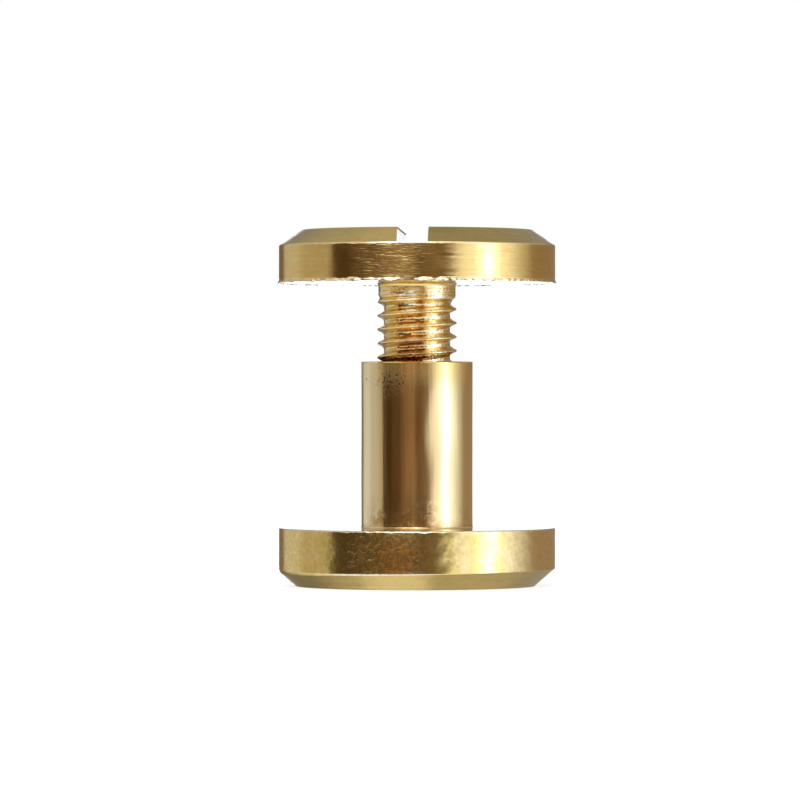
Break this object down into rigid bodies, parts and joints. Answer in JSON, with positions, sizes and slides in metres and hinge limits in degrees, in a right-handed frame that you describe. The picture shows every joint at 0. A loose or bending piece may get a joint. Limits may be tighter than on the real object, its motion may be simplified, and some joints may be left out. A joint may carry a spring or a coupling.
{
  "type": "chicago screw",
  "caption": "Two-piece brass binding screw: a slotted flat-head screw threads into a flat-headed barrel post to clamp sheets between the heads.",
  "frame": {"origin": "middle of the flat face under the post's head, on the turning axis", "axes": "+Z along the turning axis, from the post's head up to the screw's head; +X to the right and -Y towards the viewer of the picture; the driver slot runs along Y, turned 2 degrees"},
  "size_m": [0.01, 0.01, 0.0128],
  "materials": {
    "post_brass": "turned bright brass, polished barrel, tumbled and slightly mottled rim",
    "screw_brass": "turned bright brass with fine lathe lines and a bright cut slot"
  },
  "bodies": {
    "post": {"barrel_post": "post_brass"},
    "screw": {"slotted_screw": "screw_brass"}
  },
  "joints": [
    {"name": "thread_travel", "type": "slide", "parent": "post", "child": "screw", "axis": [0, 0, 1], "range_m": [-0.0025, 0.0025]}
  ]
}
